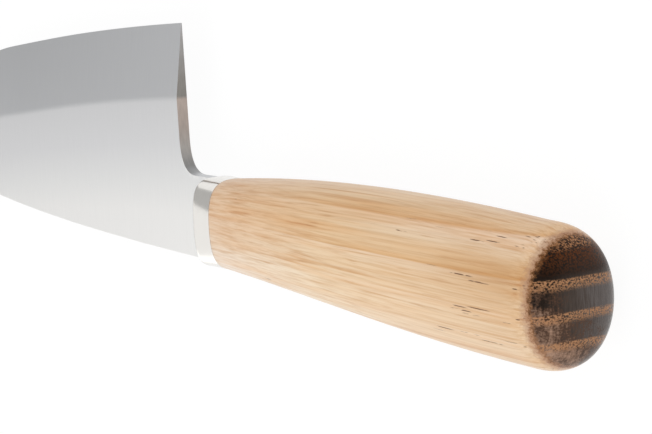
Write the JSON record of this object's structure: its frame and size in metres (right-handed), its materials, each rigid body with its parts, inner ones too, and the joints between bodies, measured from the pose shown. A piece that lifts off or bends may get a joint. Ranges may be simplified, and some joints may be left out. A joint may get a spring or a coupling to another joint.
{
  "type": "deba knife",
  "caption": "Right-handed chisel-ground kitchen knife with a heavy deep heel, hollow-ground back, steel collar and oval wooden handle with a scorched domed butt.",
  "frame": {"origin": "on the surface under the knife, below the middle of its outline, with the knife lying on the flat back of its blade", "axes": "+X along the handle towards the tip, +Y towards the spine, +Z out of the bevelled face"},
  "size_m": [0.3076, 0.0592, 0.0204],
  "materials": {
    "blade_steel": "satin ground",
    "collar_steel": "polished",
    "handle_wood": "smooth oiled ash, scorched at the butt",
    "bedding_resin": "cast resin"
  },
  "bodies": {
    "root": {"blade": "blade_steel", "collar": "collar_steel", "handle": "handle_wood", "tang_bedding": "bedding_resin"}
  },
  "joints": []
}
